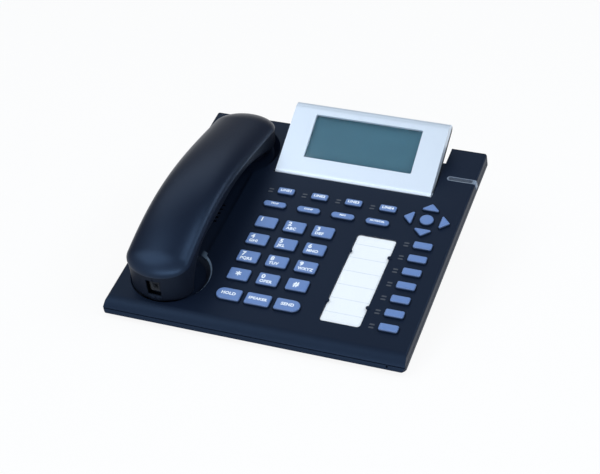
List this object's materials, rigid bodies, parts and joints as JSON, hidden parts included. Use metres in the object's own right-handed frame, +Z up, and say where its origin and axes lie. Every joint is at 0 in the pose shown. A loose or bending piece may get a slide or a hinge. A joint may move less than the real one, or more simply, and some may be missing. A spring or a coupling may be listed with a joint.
{
  "type": "desk ip phone",
  "caption": "Desk telephone with a sloping key deck, a handset resting in two round wells, a tilting display panel, a direction pad and a label strip.",
  "frame": {"origin": "centre of the footprint at desk level, under the feet", "axes": "+X to the right across the keys, +Y away from the user, +Z up; the key deck rises 14.2 degrees towards +Y"},
  "size_m": [0.2218, 0.2158, 0.0862],
  "materials": {
    "key_cap": "satin",
    "housing": "fine moulded texture",
    "rubber": "matt",
    "bezel": "satin",
    "clear_window": "polished",
    "display_glass": "polished",
    "handset": "satin",
    "socket": "matt",
    "card": "matt",
    "clear_cover": "clear",
    "light_pipe": "frosted",
    "board": "solder mask",
    "silicone": "matt",
    "speaker": "matt",
    "jack_metal": "brushed",
    "screw_steel": "zinc plated"
  },
  "bodies": {
    "base": {"top_shell": "housing", "bottom_shell": "housing", "desk_stand": "housing", "rubber_feet": "rubber", "label_card": "card", "label_cover": "clear_cover", "message_lamp": "light_pipe", "status_lights": "light_pipe", "main_board": "board", "key_mat": "silicone", "loudspeaker": "speaker", "network_jacks": "jack_metal", "cord_jacks": "socket", "power_jack": "socket", "housing_screws": "screw_steel"},
    "handset": {"handset_outer_shell": "handset", "handset_inner_shell": "handset", "handset_cord_jack": "socket", "ear_capsule": "socket", "mic_capsule": "socket"},
    "display": {"display_bezel": "bezel", "display_back_cover": "housing", "lcd_window": "clear_window", "lcd_module": "display_glass"},
    "hook": {"hook_plunger": "handset"},
    "key_1_button": {"key_1": "key_cap"},
    "key_2_button": {"key_2": "key_cap"},
    "key_3_button": {"key_3": "key_cap"},
    "key_4_button": {"key_4": "key_cap"},
    "key_5_button": {"key_5": "key_cap"},
    "key_6_button": {"key_6": "key_cap"},
    "key_7_button": {"key_7": "key_cap"},
    "key_8_button": {"key_8": "key_cap"},
    "key_9_button": {"key_9": "key_cap"},
    "key_star_button": {"key_star": "key_cap"},
    "key_0_button": {"key_0": "key_cap"},
    "key_hash_button": {"key_hash": "key_cap"},
    "key_hold_button": {"key_hold": "key_cap"},
    "key_speaker_button": {"key_speaker": "key_cap"},
    "key_send_button": {"key_send": "key_cap"},
    "key_line_1_button": {"key_line_1": "key_cap"},
    "key_line_2_button": {"key_line_2": "key_cap"},
    "key_line_3_button": {"key_line_3": "key_cap"},
    "key_line_4_button": {"key_line_4": "key_cap"},
    "key_function_1_button": {"key_function_1": "key_cap"},
    "key_function_2_button": {"key_function_2": "key_cap"},
    "key_function_3_button": {"key_function_3": "key_cap"},
    "key_function_4_button": {"key_function_4": "key_cap"},
    "key_speed_1_button": {"key_speed_1": "key_cap"},
    "key_speed_2_button": {"key_speed_2": "key_cap"},
    "key_speed_3_button": {"key_speed_3": "key_cap"},
    "key_speed_4_button": {"key_speed_4": "key_cap"},
    "key_speed_5_button": {"key_speed_5": "key_cap"},
    "key_speed_6_button": {"key_speed_6": "key_cap"},
    "key_speed_7_button": {"key_speed_7": "key_cap"},
    "key_select_button": {"key_select": "key_cap"},
    "key_right_button": {"key_right": "key_cap"},
    "key_up_button": {"key_up": "key_cap"},
    "key_left_button": {"key_left": "key_cap"},
    "key_down_button": {"key_down": "key_cap"}
  },
  "joints": [
    {"name": "handset_lift", "type": "slide", "parent": "base", "child": "handset", "axis": [0, -0.2453, 0.9694], "range_m": [0, 0.08]},
    {"name": "hook_rise", "type": "slide", "parent": "base", "child": "hook", "axis": [0, -0.2453, 0.9694], "range_m": [0, 0.004]},
    {"name": "display_tilt", "type": "hinge", "parent": "base", "child": "display", "pos_m": [0.02035, 0.0557, 0.04883], "axis": [1, 0, 0], "range_deg": [-18, 25]},
    {"name": "key_1_press", "type": "slide", "parent": "base", "child": "key_1_button", "axis": [0, -0.2453, 0.9694], "range_m": [-0.0015, 0], "stiffness_N_per_m": 200},
    {"name": "key_2_press", "type": "slide", "parent": "base", "child": "key_2_button", "axis": [0, -0.2453, 0.9694], "range_m": [-0.0015, 0], "stiffness_N_per_m": 200},
    {"name": "key_3_press", "type": "slide", "parent": "base", "child": "key_3_button", "axis": [0, -0.2453, 0.9694], "range_m": [-0.0015, 0], "stiffness_N_per_m": 200},
    {"name": "key_4_press", "type": "slide", "parent": "base", "child": "key_4_button", "axis": [0, -0.2453, 0.9694], "range_m": [-0.0015, 0], "stiffness_N_per_m": 200},
    {"name": "key_5_press", "type": "slide", "parent": "base", "child": "key_5_button", "axis": [0, -0.2453, 0.9694], "range_m": [-0.0015, 0], "stiffness_N_per_m": 200},
    {"name": "key_6_press", "type": "slide", "parent": "base", "child": "key_6_button", "axis": [0, -0.2453, 0.9694], "range_m": [-0.0015, 0], "stiffness_N_per_m": 200},
    {"name": "key_7_press", "type": "slide", "parent": "base", "child": "key_7_button", "axis": [0, -0.2453, 0.9694], "range_m": [-0.0015, 0], "stiffness_N_per_m": 200},
    {"name": "key_8_press", "type": "slide", "parent": "base", "child": "key_8_button", "axis": [0, -0.2453, 0.9694], "range_m": [-0.0015, 0], "stiffness_N_per_m": 200},
    {"name": "key_9_press", "type": "slide", "parent": "base", "child": "key_9_button", "axis": [0, -0.2453, 0.9694], "range_m": [-0.0015, 0], "stiffness_N_per_m": 200},
    {"name": "key_star_press", "type": "slide", "parent": "base", "child": "key_star_button", "axis": [0, -0.2453, 0.9694], "range_m": [-0.0015, 0], "stiffness_N_per_m": 200},
    {"name": "key_0_press", "type": "slide", "parent": "base", "child": "key_0_button", "axis": [0, -0.2453, 0.9694], "range_m": [-0.0015, 0], "stiffness_N_per_m": 200},
    {"name": "key_hash_press", "type": "slide", "parent": "base", "child": "key_hash_button", "axis": [0, -0.2453, 0.9694], "range_m": [-0.0015, 0], "stiffness_N_per_m": 200},
    {"name": "key_hold_press", "type": "slide", "parent": "base", "child": "key_hold_button", "axis": [0, -0.2453, 0.9694], "range_m": [-0.0015, 0], "stiffness_N_per_m": 200},
    {"name": "key_speaker_press", "type": "slide", "parent": "base", "child": "key_speaker_button", "axis": [0, -0.2453, 0.9694], "range_m": [-0.0015, 0], "stiffness_N_per_m": 200},
    {"name": "key_send_press", "type": "slide", "parent": "base", "child": "key_send_button", "axis": [0, -0.2453, 0.9694], "range_m": [-0.0015, 0], "stiffness_N_per_m": 200},
    {"name": "key_line_1_press", "type": "slide", "parent": "base", "child": "key_line_1_button", "axis": [0, -0.2453, 0.9694], "range_m": [-0.0015, 0], "stiffness_N_per_m": 200},
    {"name": "key_line_2_press", "type": "slide", "parent": "base", "child": "key_line_2_button", "axis": [0, -0.2453, 0.9694], "range_m": [-0.0015, 0], "stiffness_N_per_m": 200},
    {"name": "key_line_3_press", "type": "slide", "parent": "base", "child": "key_line_3_button", "axis": [0, -0.2453, 0.9694], "range_m": [-0.0015, 0], "stiffness_N_per_m": 200},
    {"name": "key_line_4_press", "type": "slide", "parent": "base", "child": "key_line_4_button", "axis": [0, -0.2453, 0.9694], "range_m": [-0.0015, 0], "stiffness_N_per_m": 200},
    {"name": "key_function_1_press", "type": "slide", "parent": "base", "child": "key_function_1_button", "axis": [0, -0.2453, 0.9694], "range_m": [-0.0015, 0], "stiffness_N_per_m": 200},
    {"name": "key_function_2_press", "type": "slide", "parent": "base", "child": "key_function_2_button", "axis": [0, -0.2453, 0.9694], "range_m": [-0.0015, 0], "stiffness_N_per_m": 200},
    {"name": "key_function_3_press", "type": "slide", "parent": "base", "child": "key_function_3_button", "axis": [0, -0.2453, 0.9694], "range_m": [-0.0015, 0], "stiffness_N_per_m": 200},
    {"name": "key_function_4_press", "type": "slide", "parent": "base", "child": "key_function_4_button", "axis": [0, -0.2453, 0.9694], "range_m": [-0.0015, 0], "stiffness_N_per_m": 200},
    {"name": "key_speed_1_press", "type": "slide", "parent": "base", "child": "key_speed_1_button", "axis": [0, -0.2453, 0.9694], "range_m": [-0.0015, 0], "stiffness_N_per_m": 200},
    {"name": "key_speed_2_press", "type": "slide", "parent": "base", "child": "key_speed_2_button", "axis": [0, -0.2453, 0.9694], "range_m": [-0.0015, 0], "stiffness_N_per_m": 200},
    {"name": "key_speed_3_press", "type": "slide", "parent": "base", "child": "key_speed_3_button", "axis": [0, -0.2453, 0.9694], "range_m": [-0.0015, 0], "stiffness_N_per_m": 200},
    {"name": "key_speed_4_press", "type": "slide", "parent": "base", "child": "key_speed_4_button", "axis": [0, -0.2453, 0.9694], "range_m": [-0.0015, 0], "stiffness_N_per_m": 200},
    {"name": "key_speed_5_press", "type": "slide", "parent": "base", "child": "key_speed_5_button", "axis": [0, -0.2453, 0.9694], "range_m": [-0.0015, 0], "stiffness_N_per_m": 200},
    {"name": "key_speed_6_press", "type": "slide", "parent": "base", "child": "key_speed_6_button", "axis": [0, -0.2453, 0.9694], "range_m": [-0.0015, 0], "stiffness_N_per_m": 200},
    {"name": "key_speed_7_press", "type": "slide", "parent": "base", "child": "key_speed_7_button", "axis": [0, -0.2453, 0.9694], "range_m": [-0.0015, 0], "stiffness_N_per_m": 200},
    {"name": "key_select_press", "type": "slide", "parent": "base", "child": "key_select_button", "axis": [0, -0.2453, 0.9694], "range_m": [-0.0015, 0], "stiffness_N_per_m": 200},
    {"name": "key_right_press", "type": "slide", "parent": "base", "child": "key_right_button", "axis": [0, -0.2453, 0.9694], "range_m": [-0.0015, 0], "stiffness_N_per_m": 200},
    {"name": "key_up_press", "type": "slide", "parent": "base", "child": "key_up_button", "axis": [0, -0.2453, 0.9694], "range_m": [-0.0015, 0], "stiffness_N_per_m": 200},
    {"name": "key_left_press", "type": "slide", "parent": "base", "child": "key_left_button", "axis": [0, -0.2453, 0.9694], "range_m": [-0.0015, 0], "stiffness_N_per_m": 200},
    {"name": "key_down_press", "type": "slide", "parent": "base", "child": "key_down_button", "axis": [0, -0.2453, 0.9694], "range_m": [-0.0015, 0], "stiffness_N_per_m": 200}
  ],
  "couplings": [
    {"joint": "hook_rise", "follows": "handset_lift", "ratio": 0.05}
  ]
}
